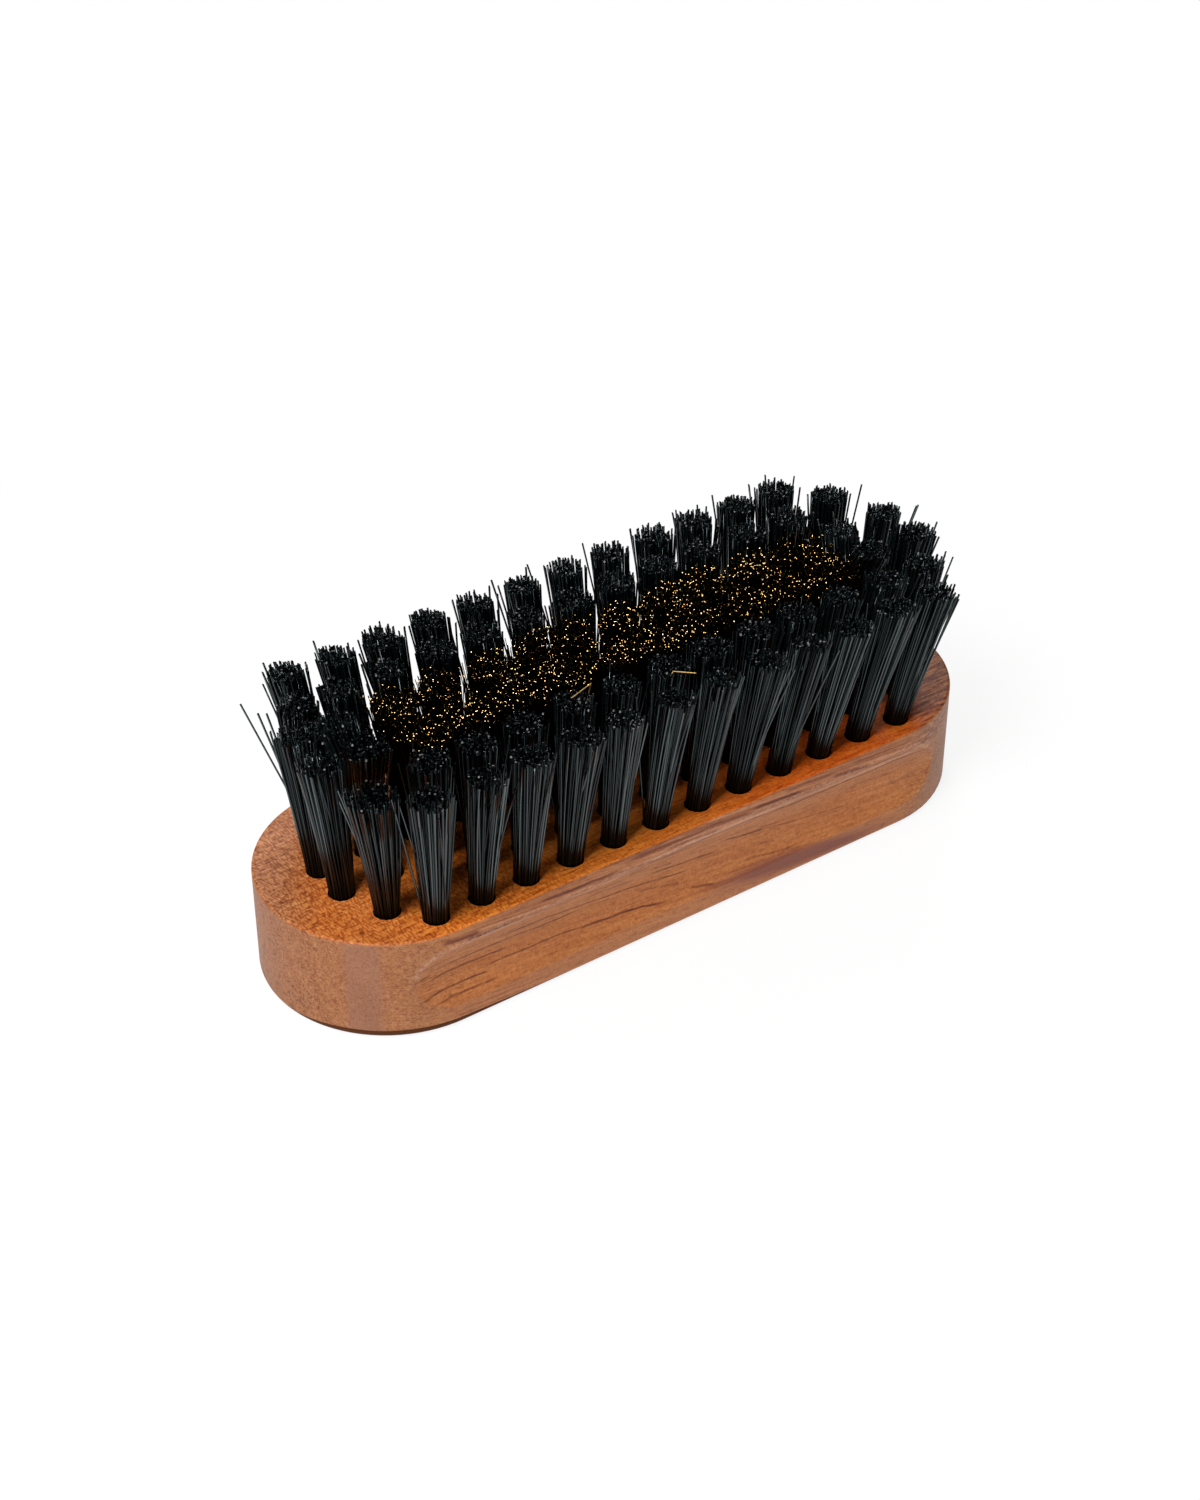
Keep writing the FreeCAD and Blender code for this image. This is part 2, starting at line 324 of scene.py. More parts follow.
def strand_faces(count, levels, sides):
    """Faces of the filaments: side quads, then foot and tip caps, as lists of vertex numbers."""
    side = np.arange(sides)
    after = (side + 1) % sides
    base = (np.arange(levels - 1) * sides)[:, None]
    quads = np.stack([base + side, base + after, base + sides + after, base + sides + side], axis=2)
    starts = (np.arange(count) * levels * sides)[:, None, None]
    quads = (quads.reshape(1, -1, 4) + starts).reshape(-1, 4)
    feet = (starts[:, :, 0] + side[::-1]).tolist()
    tips = (starts[:, :, 0] + (levels - 1) * sides + side).tolist()
    return quads.tolist(), feet, tips


def strand_map(count, levels, sides):
    """Texture places of the corners, in the order of the faces: each filament has a cell of its own."""
    columns = math.ceil(math.sqrt(count))
    cell = 1 / columns
    corner = np.stack([np.arange(count) % columns, np.arange(count) // columns], axis=1) * cell
    wall, cap, margin = MAP_WALL_SHARE * cell, MAP_CAP_SHARE * cell, MAP_MARGIN_SHARE * cell
    side = np.arange(sides) / sides
    step = 1 / sides
    low = np.arange(levels - 1) / (levels - 1)
    high = low + 1 / (levels - 1)
    quad = np.empty((levels - 1, sides, 4, 2))
    quad[:, :, 0, 0] = quad[:, :, 3, 0] = side[None, :]
    quad[:, :, 1, 0] = quad[:, :, 2, 0] = side[None, :] + step
    quad[:, :, 0, 1] = quad[:, :, 1, 1] = low[:, None]
    quad[:, :, 2, 1] = quad[:, :, 3, 1] = high[:, None]
    walls = corner[:, None] + margin + quad.reshape(1, -1, 2) * (cell - 2 * margin, wall)
    turn = 2 * math.pi * np.arange(sides) / sides
    disc = np.stack([np.cos(turn), np.sin(turn)], axis=1) * cap / 2
    cap_height = cell - margin - cap / 2
    feet = corner[:, None] + (MAP_FOOT_SHARE * cell, cap_height) + disc[::-1]
    tips = corner[:, None] + (MAP_TIP_SHARE * cell, cap_height) + disc
    return np.concatenate([part.reshape(-1, 2) for part in (walls, feet, tips)])


def make_bundle(node, kind, seed, side_material, cut_material):
    """One piece that holds every filament of a node's tufts."""
    name = f"{node}_strands"
    rng = np.random.default_rng(seed)
    rings, tones, rise = [], [], None
    for number, (foot, crown) in enumerate(tufts_of(node)):
        splay = SPLAYS.get((node, number), Splay())
        line, rise = strand_lines(rng, foot, crown, kind, splay)
        rings.append(strand_rings(rng, line, kind, len(splay.loose)))
        tones.append(rng.random(kind.count) * (1 - LOOSE_TONE_ROOM))
        tones[-1][:len(splay.loose)] = 1.0
    rings = np.concatenate(rings)
    count, levels, sides = rings.shape[:3]
    quads, feet, tips = strand_faces(count, levels, sides)
    mesh = bpy.data.meshes.new(name)
    mesh.from_pydata(rings.reshape(-1, 3).tolist(), [], quads + feet + tips)
    mesh.materials.append(side_material)
    mesh.materials.append(cut_material)
    smooth = np.zeros(len(mesh.polygons), bool)
    smooth[:len(quads)] = True
    mesh.polygons.foreach_set("use_smooth", smooth)
    slots = np.zeros(len(mesh.polygons), np.int32)
    slots[-count:] = 1
    mesh.polygons.foreach_set("material_index", slots)
    tone = np.repeat(np.concatenate(tones), levels * sides)
    mesh.attributes.new("tone", "FLOAT", "POINT").data.foreach_set("value", tone.astype(np.float32))
    height = np.tile(np.repeat(rise, sides), count)
    mesh.attributes.new("rise", "FLOAT", "POINT").data.foreach_set("value", height.astype(np.float32))
    places = strand_map(count, levels, sides)
    mesh.uv_layers.new(name="OFBake").data.foreach_set("uv", places.astype(np.float32).ravel())
    mesh.update()
    piece = bpy.data.objects.new(name, mesh)
    bpy.context.scene.collection.objects.link(piece)
    return piece


# Materials

class Graph:
    """A material, or another node tree, whose nodes are made by short calls."""

    def __init__(self, name="", tree=None):
        self.material = None
        if tree is None:
            self.material = bpy.data.materials.new(name)
            self.material.use_nodes = True
            tree = self.material.node_tree
        self.tree = tree
        self.tree.nodes.clear()

    def node(self, kind, inputs=(), **settings):
        """Add a node; inputs are (socket, value or link) pairs."""
        made = self.tree.nodes.new(f"ShaderNode{kind}")
        for name, value in settings.items():
            setattr(made, name, value)
        for socket, value in inputs:
            self.feed(made.inputs[socket], value)
        return made

    def feed(self, socket, value):
        """Link a socket, or set its value."""
        if isinstance(value, bpy.types.NodeSocket):
            self.tree.links.new(value, socket)
        else:
            socket.default_value = value

    def math(self, operation, first, second=0.0):
        """One step of arithmetic."""
        return self.node("Math", ((0, first), (1, second)), operation=operation).outputs[0]

    def length(self, first, second):
        """Length of the vector of two parts."""
        squares = [self.math("MULTIPLY", part, part) for part in (first, second)]
        return self.math("SQRT", self.math("ADD", *squares))

    def smooth(self, value, low, high):
        """0 below low, 1 above high, and a smooth step between."""
        made = self.node(
            "MapRange", (("Value", value), ("From Min", low), ("From Max", high)),
            interpolation_type="SMOOTHSTEP",
        )
        return made.outputs["Result"]

    def between(self, value, low, high, soft):
        """1 from low to high, with soft ends, else 0."""
        enter = self.smooth(value, low - soft, low + soft)
        leave = self.smooth(value, high - soft, high + soft)
        return self.math("SUBTRACT", enter, leave)

    def times(self, first, *rest):
        """Product of all the values."""
        for value in rest:
            first = self.math("MULTIPLY", first, value)
        return first

    def linear(self, value, gain, base):
        """The value times a gain, plus a base."""
        return self.math("ADD", self.math("MULTIPLY", value, gain), base)

    def rest(self, value):
        """What the value leaves of 1."""
        return self.math("SUBTRACT", 1.0, value)

    def mix(self, factor, first, second, blend="MIX"):
        """Blend of two colours."""
        made = self.node("Mix", data_type="RGBA", blend_type=blend)
        for index, value in ((0, factor), (6, first), (7, second)):
            self.feed(made.inputs[index], value)
        return made.outputs[2]

    def paint(self, mask, colour, tone):
        """The colour, covered by a tone where the mask is 1."""
        return self.mix(mask, colour, rgb(*tone))

    def shade(self, mask, colour, shade):
        """The colour, times a shade where the mask is 1."""
        return self.mix(mask, colour, rgb(*shade), blend="MULTIPLY")

    def ramp(self, value, stops):
        """Colour of a value between stops of (position, colour)."""
        made = self.node("ValToRGB", (("Fac", value),))
        elements = made.color_ramp.elements
        while len(elements) < len(stops):
            elements.new(0.5)
        for element, (position, colour) in zip(elements, stops):
            element.position = position
            element.color = (*colour, 1.0)
        return made.outputs["Color"]

    def noise(self, vector, scale=1.0, detail=2.0, roughness=0.5):
        """Soft noise, from 0 to 1."""
        made = self.node("TexNoise", (
            ("Vector", vector), ("Scale", scale), ("Detail", detail), ("Roughness", roughness),
        ))
        return made.outputs["Fac"]

    def stretch(self, vector, along, across, up):
        """The vector with each axis times its own factor."""
        made = self.node("VectorMath", ((0, vector), (1, (along, across, up))), operation="MULTIPLY")
        return made.outputs[0]

    def combine(self, *parts):
        """The vector of three parts."""
        return self.node("CombineXYZ", tuple(enumerate(parts))).outputs[0]

    def bump(self, height, distance, strength):
        """Normal that a relief bends."""
        made = self.node("Bump", (("Height", height), ("Distance", distance), ("Strength", strength)))
        return made.outputs["Normal"]

    def finish(self, **inputs):
        """Close the graph with a Principled shader and return the material."""
        sockets = tuple((name.replace("_", " "), value) for name, value in inputs.items())
        shader = self.node("BsdfPrincipled", sockets)
        output = self.node("OutputMaterial")
        self.tree.links.new(shader.outputs[0], output.inputs["Surface"])
        return self.material


def rgb(*parts):
    """The colour with full alpha."""
    return (*parts, 1.0)


# Wood, in millimetres of the block's own frame

FIBRE_SLOPE = 0.08
RING_CENTRE = (85.0, -24.0)
RING_BEND = 4.0
GRAIN_CONTRAST = 1.6
WOOD_RELIEF = 0.05 * MM

# Noise scales per millimetre along, across and up the grain
BEND_SCALE = (0.018, 0.10, 0.12)
FIBRE_SCALE = (0.09, 2.4, 2.4)
WAVER_SCALE = (0.35, 0.5, 0.9)
VEIN_SCALE = (0.010, 0.75, 0.95)
VEIN_BREAK_SCALE = (0.07, 1.1, 1.1)
DASH_SCALE = (0.7, 3.0, 3.0)
STREAK_SCALE = (0.020, 1.4, 2.4)
PORE_SCALE = (0.70, 4.0, 4.0)
RIPPLE_SCALE = (4.4, 1.3, 1.3)

# Colours of the bare wood, from dark grain to pale
# The face's tones are deeper and more saturated than the sides': partly the wood, partly painted light
# bounced among the tufts
FACE_TONES_WITH_PAINTED_BOUNCE = (
    (0.25, (0.480, 0.100, 0.009)),
    (0.44, (0.680, 0.178, 0.018)),
    (0.56, (0.765, 0.230, 0.028)),
    (0.75, (0.840, 0.315, 0.055)),
)
FACE_END_TONES = (
    (0.25, (0.300, 0.098, 0.028)),
    (0.44, (0.420, 0.162, 0.057)),
    (0.56, (0.490, 0.202, 0.080)),
    (0.75, (0.600, 0.295, 0.140)),
)
SIDE_TONES = (
    (0.25, (0.290, 0.076, 0.016)),
    (0.44, (0.420, 0.135, 0.031)),
    (0.56, (0.480, 0.168, 0.043)),
    (0.75, (0.540, 0.222, 0.077)),
)
END_TONES = (
    (0.25, (0.205, 0.066, 0.019)),
    (0.44, (0.290, 0.111, 0.038)),
    (0.56, (0.333, 0.138, 0.053)),
    (0.75, (0.420, 0.203, 0.096)),
)

# Shades multiply the colour under them, and tones cover it
# Painted shade on the middle and right of the face, redder as light bounced between the tufts
RIGHT_PAINTED_SHADE = (1.0, 0.66, 0.45)
VEIN_SHADE = (0.50, 0.33, 0.27)
LINE_SHADE = (0.30, 0.15, 0.09)
STREAK_SHADE = (0.36, 0.17, 0.12)
PORE_SHADE = (0.55, 0.40, 0.33)
GRIT_SHADE = (0.70, 0.52, 0.42)
RIPPLE_SHADE = (0.56, 0.36, 0.24)
# A painted sheen of the white floor, paler on the front outside a warm band along the lower part of the
# groove
PAINTED_SHEEN_TONE = (0.420, 0.185, 0.082)
PURPLE_TONE = (0.200, 0.058, 0.036)
GREY_TONE = (0.240, 0.110, 0.072)
# Pale streaks of the grain, and the painted highlight on the front groove's upper edge
PALE_GRAIN_AND_HIGHLIGHT_TONE = (0.640, 0.430, 0.320)
# Painted contact shadow along the lower edge
PAINTED_SHADOW_TONE = (0.080, 0.025, 0.007)
# Painted shade on the walls of the tuft holes
HOLE_PAINTED_SHADE = (0.090, 0.028, 0.011)

# How far up a surface faces where it turns from side to face
FACING_UP = (0.45, 0.8)

# Where the wood changes, from the first number to the second: reaches go along or across the block,
# heights go up it, and insets go inwards from its outline
END_REACH = (34.0, 44.0)
FRONT_REACH = (-8.0, -12.0)
GROOVE_INSETS = (0.03, 1.6)
GROOVE_SOFT = 0.03
HOLE_INSETS = (1.6, 1.8)
LEFT_CORNER_SLOPE = 0.7
LEFT_CORNER_REACH = (45.0, 55.0)
LEFT_DRY_REACH = (-36.0, -46.0)
RIGHT_DRY_REACH = (38.0, 46.0)
# Where the painted shade on the face lies
REDDER_REACH = (6.0, 42.0)
REDDER_SOFT = 14.0
# Where the front is left without the painted sheen, between these heights
WARM_HEIGHTS = (3.3, 9.6)
WARM_SOFT = 1.3
WAN_REACH = (-44.0, -34.0)
BAND_HEIGHTS = (11.4, 13.0)
BAND_REACH = (-38.0, -30.0)
STREAKED_FACE_REACH = (34.0, 44.0)
RIPPLE_FADE_REACH = (-34.0, -6.0)
PATCH_MIDDLE = (18.5, 3.9)
PATCH_HALF = (17.0, 1.6)
PATCH_SIDE_REACH = (8.0, 4.0)
GREY_LAYER = (-14.8, -11.6)
GREY_SOFT = 0.6
GREY_REACH = (-36.0, -40.0)
# The upper groove edge: paler as wear and as a painted highlight where it catches light
WEAR_AND_HIGHLIGHT_INSETS = (0.02, 0.40)
WEAR_AND_HIGHLIGHT_HEIGHTS = (7.0, 11.0)
# Painted contact shadow along the lower edge: its reaches, its heights in millimetres and its soft top
SHADOW_LEFT_REACH = (-46.0, -8.0)
SHADOW_FRONT_REACH = (0.0, -13.0)
SHADOW_RIGHT_REACH = (33.0, 43.0)
SHADOW_LEFT_HEIGHT = 1.15
SHADOW_RIGHT_HEIGHT = 0.55
SHADOW_LEAST_HEIGHT = 0.12
SHADOW_SOFT = 0.04


@dataclass
class Streak:
    """A line of the grain on the front of the block, along a path of (along, height) in millimetres."""

    path: tuple
    half_width: float
    strength: float


# Shares of a streak's half width where it begins and is whole, and of its length where an end tapers
STREAK_SIDE_SHARES = (1.25, 0.25)
STREAK_TAPER_SHARE = 0.1

# Thin dark lines in and beside the front groove; the last is a painted shadow line along its upper edge
FINE_LINES = (
    Streak(((-44.0, 8.7), (-42.8, 9.0), (-41.5, 9.4)), 0.15, 0.7),
    Streak(((-43.5, 10.5), (-41.0, 10.9), (-37.5, 11.1)), 0.14, 0.4),
    Streak(((-41.4, 8.3), (-38.5, 8.65), (-34.0, 8.5), (-30.0, 8.25)), 0.18, 0.8),
    Streak(((-40.0, 9.9), (-31.5, 9.9), (-24.0, 9.45), (-18.5, 9.25)), 0.17, 0.8),
    Streak(((-30.0, 10.95), (-22.0, 10.35), (-15.0, 9.65)), 0.17, 0.85),
    Streak(((-16.5, 9.15), (-13.0, 8.7)), 0.15, 0.6),
    Streak(((-15.0, 9.55), (-9.0, 9.0), (-5.3, 8.5), (-0.4, 7.7)), 0.19, 0.85),
    Streak(((-42.8, 5.5), (-40.3, 6.0), (-37.0, 6.1), (-33.0, 6.05)), 0.19, 0.85),
    Streak(((-40.5, 4.5), (-38.5, 4.7), (-32.0, 4.55)), 0.18, 0.8),
    Streak(((-33.0, 6.9), (-27.0, 6.75), (-21.0, 6.55), (-16.5, 6.0)), 0.17, 0.75),
    Streak(((-18.0, 6.2), (-13.0, 5.8), (-9.0, 5.45), (-4.3, 4.5)), 0.21, 0.95),
    Streak(((0.3, 4.85), (2.0, 4.5), (4.0, 4.0)), 0.21, 0.8),
    Streak(((-4.6, 6.95), (-1.6, 6.3)), 0.26, 0.5),
    Streak(((-8.0, 7.6), (-5.0, 7.3)), 0.16, 0.5),
    Streak(((-17.0, 11.9), (-11.0, 11.3)), 0.16, 0.6),
    Streak(((-17.0, 11.0), (-12.5, 10.7), (-9.3, 10.3)), 0.16, 0.55),
    Streak(((-10.0, 11.9), (-7.0, 11.6)), 0.16, 0.5),
    Streak(((-6.0, 10.9), (-3.0, 10.4)), 0.17, 0.6),
    Streak(((-6.4, 9.95), (-1.5, 9.5), (4.8, 8.9)), 0.18, 0.85),
    Streak(((6.4, 10.2), (8.5, 9.75), (13.0, 9.1)), 0.18, 0.9),
    Streak(((12.5, 9.2), (18.0, 8.15), (22.0, 7.6), (27.5, 6.85)), 0.16, 0.6),
    Streak(((12.5, 9.7), (15.2, 9.2)), 0.17, 0.6),
    Streak(((12.5, 6.9), (15.0, 6.3)), 0.18, 0.5),
    Streak(((9.5, 5.4), (13.0, 4.9), (17.5, 4.3)), 0.17, 0.6),
    Streak(((29.0, 9.8), (36.0, 9.0)), 0.15, 0.45),
    Streak(((-37.0, 2.3), (-30.0, 1.9)), 0.16, 0.5),
    Streak(((-38.0, 1.5), (-28.0, 1.0)), 0.17, 0.55),
    # A painted shadow line along the groove's upper edge
    Streak(
        ((-2.0, 13.0), (8.0, 12.7), (18.0, 11.75), (28.0, 11.5), (39.0, 11.1), (42.0, 10.7)),
        0.18, 0.8,
    ),
)

# Dark and pale streaks between the front groove and the face
DARK_STREAKS = (
    Streak(((-39.8, 14.6), (-37.0, 14.3), (-34.5, 14.2)), 0.50, 1.0),
    Streak(((-36.5, 13.7), (-33.0, 13.4), (-29.5, 13.3)), 0.30, 0.8),
    Streak(((-24.5, 14.6), (-19.0, 14.3), (-12.5, 14.1)), 0.28, 0.9),
    Streak(((-23.5, 13.3), (-17.0, 13.1)), 0.20, 0.6),
    Streak(((-15.5, 15.8), (-10.0, 15.5), (-4.5, 15.3)), 0.30, 0.7),
    Streak(((-10.5, 15.0), (-3.0, 14.8), (4.0, 14.6), (10.5, 13.85)), 0.42, 1.0),
    Streak(((-4.0, 14.1), (4.5, 13.6)), 0.28, 0.8),
    Streak(((10.5, 14.6), (18.5, 13.9)), 0.32, 0.9),
    Streak(((10.0, 13.7), (22.5, 13.2)), 0.34, 0.7),
    Streak(((16.0, 15.2), (24.0, 14.6)), 0.28, 0.7),
    Streak(((24.5, 14.1), (27.5, 13.7), (31.0, 13.1)), 0.40, 0.95),
    Streak(((28.0, 14.9), (38.0, 14.4)), 0.28, 0.6),
    Streak(((32.0, 12.9), (38.0, 12.4), (41.5, 13.2), (43.5, 14.4)), 0.28, 0.7),
)
# Pale streaks along the front groove's upper edge: wear and a painted highlight where the edge catches
# light
PALE_WEAR_AND_HIGHLIGHT_STREAKS = (
    Streak(((-44.0, 9.6), (-42.5, 11.4), (-40.5, 12.5), (-37.0, 12.9)), 0.55, 0.4),
    Streak(((-38.0, 12.9), (-25.0, 12.8), (-10.0, 12.8)), 0.45, 0.6),
    Streak(
        ((-12.0, 13.2), (-2.0, 13.3), (10.0, 12.95), (20.0, 12.35), (30.0, 12.1), (40.0, 11.7)),
        0.42, 0.9,
    ),
)


@dataclass
class WoodPlaces:
    """Sockets that say where on the block a point lies, lengths in millimetres."""

    x: object
    y: object
    z: object
    inset: object
    beside_groove: object
    top: object
    side: object
    front: object
    end: object
    groove: object
    hole: object


@dataclass
class Grain:
    """Sockets of the grain: its own axes, heights in millimetres, and the noises that features share."""

    vector: object
    height: object
    level: object
    fibres: object
    speckle: object
    pores: object
    grit: object
    tone: object


def wood_places(g):
    """Where a point lies: on the face, a side, a round end, in a finger groove or in a hole."""
    place = g.node("TexCoord").outputs["Object"]
    x, y, z = g.node("SeparateXYZ", ((0, g.stretch(place, 1 / MM, 1 / MM, 1 / MM)),)).outputs
    length = g.math("ABSOLUTE", x)
    width = g.math("ABSOLUTE", y)
    past_end = g.math("MAXIMUM", g.math("SUBTRACT", length, END_CENTRE / MM), 0.0)
    inset = g.math("SUBTRACT", HALF_WIDTH / MM, g.length(past_end, y))
    groove_middle = (HALF_WIDTH - GROOVE_DEPTH + GROOVE_RADIUS) / MM
    groove_reach = g.length(
        g.math("SUBTRACT", width, groove_middle), g.math("SUBTRACT", z, GROOVE_HEIGHT / MM),
    )
    upright = g.node("SeparateXYZ", ((0, g.node("NewGeometry").outputs["Normal"]),)).outputs[2]
    side = g.rest(g.smooth(g.math("ABSOLUTE", upright), *FACING_UP))
    return WoodPlaces(
        x=x,
        y=y,
        z=z,
        inset=inset,
        beside_groove=g.math("SUBTRACT", groove_reach, GROOVE_RADIUS / MM),
        top=g.smooth(upright, *FACING_UP),
        side=side,
        front=g.times(side, g.smooth(y, *FRONT_REACH)),
        end=g.smooth(length, *END_REACH),
        groove=g.times(side, g.between(inset, *GROOVE_INSETS, GROOVE_SOFT)),
        hole=g.times(side, g.smooth(inset, *HOLE_INSETS)),
    )


def wood_grain(g, at):
    """Growth layers round a far centre, bent by a slow noise, with fibres, pores and grit along them."""
    along = g.math("SUBTRACT", at.x, g.times(at.z, FIBRE_SLOPE))
    height = g.math("ADD", at.z, g.times(at.x, FIBRE_SLOPE))
    vector = g.combine(along, at.y, height)
    bend = g.noise(g.stretch(vector, *BEND_SCALE), detail=2.0)
    from_centre = [g.math("SUBTRACT", *pair) for pair in zip((at.y, height), RING_CENTRE)]
    ring = g.math("ADD", g.length(*from_centre), g.times(bend, RING_BEND))
    layers = g.noise(g.combine(ring, 0.0, 0.0), scale=0.45, detail=3.0, roughness=0.6)
    fibres = g.noise(g.stretch(vector, *FIBRE_SCALE), detail=3.0, roughness=0.65)
    speckle = g.noise(vector, scale=1.9, detail=2.0, roughness=0.7)
    pores = g.noise(g.stretch(vector, *PORE_SCALE), detail=1.0)
    grit = g.noise(vector, scale=3.2, detail=0.0)
    speckled = g.linear(at.top, gain=-0.20, base=0.34)
    streaky = g.math("SUBTRACT", 0.70, speckled)
    tone = g.math("ADD", g.times(layers, 0.30), g.times(fibres, streaky))
    tone = g.math("ADD", tone, g.times(speckle, speckled))
    waver = g.noise(g.stretch(vector, *WAVER_SCALE), detail=2.0)
    return Grain(
        vector=vector,
        height=height,
        level=g.math("ADD", at.z, g.linear(waver, gain=0.36, base=-0.18)),
        fibres=fibres,
        speckle=speckle,
        pores=g.smooth(pores, 0.56, 0.68),
        grit=g.smooth(grit, 0.50, 0.66),
        tone=g.linear(g.math("SUBTRACT", tone, 0.5), gain=GRAIN_CONTRAST, base=0.5),
    )


def streak_level(g, x, path):
    """Height of a streak's path at each place along the block."""
    start, end, top = path[0][0], path[-1][0], BLOCK_HIGH.z / MM
    share = g.node("MapRange", (("Value", x), ("From Min", start), ("From Max", end))).outputs["Result"]
    made = g.node("FloatCurve", (("Value", share),))
    points = made.mapping.curves[0].points
    while len(points) < len(path):
        points.new(0.5, 0.5)
    for point, (along, height) in zip(points, path):
        point.location = ((along - start) / (end - start), height / top)
    made.mapping.update()
    return g.times(made.outputs[0], top)


def streak_mask(g, x, z, streaks):
    """How much of a streak lies at a place, with soft sides and tapered ends."""
    mask = 0.0
    for streak in streaks:
        start, end = streak.path[0][0], streak.path[-1][0]
        off = g.math("ABSOLUTE", g.math("SUBTRACT", z, streak_level(g, x, streak.path)))
        inside = g.smooth(off, *(share * streak.half_width for share in STREAK_SIDE_SHARES))
        taper = g.between(x, start, end, STREAK_TAPER_SHARE * (end - start))
        mask = g.math("MAXIMUM", mask, g.times(inside, taper, streak.strength))
    return mask


def bare_wood(g, at, grain):
    """Colour of the bare wood: dry at the ends; on the face deeper and more saturated, partly painted
    light bounced among the tufts, and redder to the right as painted shade; on the front paler outside a
    warm band, as a painted sheen.
    """
    dry = g.linear(at.end, gain=0.75, base=0.15)
    dry = g.times(dry, g.rest(g.times(at.groove, 0.6)))
    colour = g.mix(dry, g.ramp(grain.tone, SIDE_TONES), g.ramp(grain.tone, END_TONES))
    corner = g.math("SUBTRACT", g.times(at.y, LEFT_CORNER_SLOPE), at.x)
    corner = g.times(g.smooth(corner, *LEFT_CORNER_REACH), 0.65)
    left = g.math("ADD", corner, g.times(g.smooth(at.x, *LEFT_DRY_REACH), 0.35))
    ends = g.math("ADD", left, g.times(g.smooth(at.x, *RIGHT_DRY_REACH), 0.75))
    face = g.mix(ends, g.ramp(grain.tone, FACE_TONES_WITH_PAINTED_BOUNCE), g.ramp(grain.tone, FACE_END_TONES))
    colour = g.mix(at.top, colour, face)
    # Painted shade, redder, on the face between the tufts towards the right
    redder = g.times(at.top, g.between(at.x, *REDDER_REACH, REDDER_SOFT))
    colour = g.shade(redder, colour, RIGHT_PAINTED_SHADE)
    # Painted sheen: paler wood on the front, except in a warm band along the lower part of the groove
    painted_sheen = g.times(at.front, g.rest(g.between(at.z, *WARM_HEIGHTS, WARM_SOFT)))
    painted_sheen = g.times(painted_sheen, g.linear(g.smooth(at.x, *WAN_REACH), gain=0.27, base=0.18))
    return g.paint(painted_sheen, colour, PAINTED_SHEEN_TONE)


def with_lines(g, at, grain, colour):
    """Thin dark lines along the fibres, where the growth layers end, and a painted shadow line along the
    front groove's upper edge.
    """
    veins = g.noise(g.stretch(grain.vector, *VEIN_SCALE), detail=1.0, roughness=0.5)
    veins = g.math("ABSOLUTE", g.math("SUBTRACT", veins, 0.5))
    veins = g.rest(g.smooth(veins, 0.010, 0.034))
    broken = g.smooth(g.noise(g.stretch(grain.vector, *VEIN_BREAK_SCALE), detail=1.0), 0.44, 0.52)
    shown = g.times(at.side, g.linear(at.front, gain=-0.6, base=0.8))
    colour = g.shade(g.times(veins, broken, shown), colour, VEIN_SHADE)
    dashed = g.smooth(g.noise(g.stretch(grain.vector, *DASH_SCALE), detail=1.0), 0.34, 0.52)
    dashed = g.linear(dashed, gain=0.35, base=0.65)
    fine = g.times(streak_mask(g, at.x, grain.level, FINE_LINES), at.front, dashed)
    return g.shade(fine, colour, LINE_SHADE)


def with_streaks(g, at, grain, colour):
    """Pale and dark streaks above the grooves, and dark ones at the right end of the face; the pale ones
    on the front groove's edge are partly a painted highlight.
    """
    streaks = g.noise(g.stretch(grain.vector, *STREAK_SCALE), detail=4.0, roughness=0.62)
    band = g.times(at.side, g.smooth(at.z, *BAND_HEIGHTS), g.smooth(at.x, *BAND_REACH))
    face_end = g.times(at.top, g.smooth(at.x, *STREAKED_FACE_REACH))
    pale = g.times(g.rest(g.smooth(streaks, 0.36, 0.46)), band, 0.25)
    # Wear and a painted highlight along the front groove's upper edge
    pale_wear_and_highlight = g.times(streak_mask(g, at.x, grain.level, PALE_WEAR_AND_HIGHLIGHT_STREAKS), at.front, 0.42)
    colour = g.paint(g.math("MAXIMUM", pale, pale_wear_and_highlight), colour, PALE_GRAIN_AND_HIGHLIGHT_TONE)
    strength = g.math("ADD", g.times(band, 0.5), g.linear(face_end, gain=0.95, base=0.10))
    dark = g.times(g.smooth(streaks, 0.46, 0.54), strength)
    colour = g.shade(dark, colour, VEIN_SHADE)
    strands = g.linear(g.smooth(streaks, 0.40, 0.54), gain=0.25, base=0.75)
    dark_front = g.times(streak_mask(g, at.x, grain.level, DARK_STREAKS), at.front, strands)
    return g.shade(dark_front, colour, STREAK_SHADE)


def with_pores(g, at, grain, colour):
    """Pores and grit, with fine dashes across the fibres, most on the left of the face."""
    dashes = g.math("ADD", g.times(at.top, 0.35), g.linear(at.end, gain=0.25, base=0.45))
    colour = g.shade(g.times(grain.pores, dashes), colour, PORE_SHADE)
    gritty = g.math("ADD", g.times(at.end, 0.15), g.linear(at.top, gain=-0.25, base=0.35))
    colour = g.shade(g.times(grain.grit, gritty), colour, GRIT_SHADE)
    ripple = g.smooth(g.noise(g.stretch(grain.vector, *RIPPLE_SCALE), detail=0.0), 0.44, 0.62)
    rippled = g.linear(g.smooth(at.x, *RIPPLE_FADE_REACH), gain=-0.55, base=1.0)
    return g.shade(g.times(ripple, at.top, rippled, 0.85), colour, RIPPLE_SHADE)


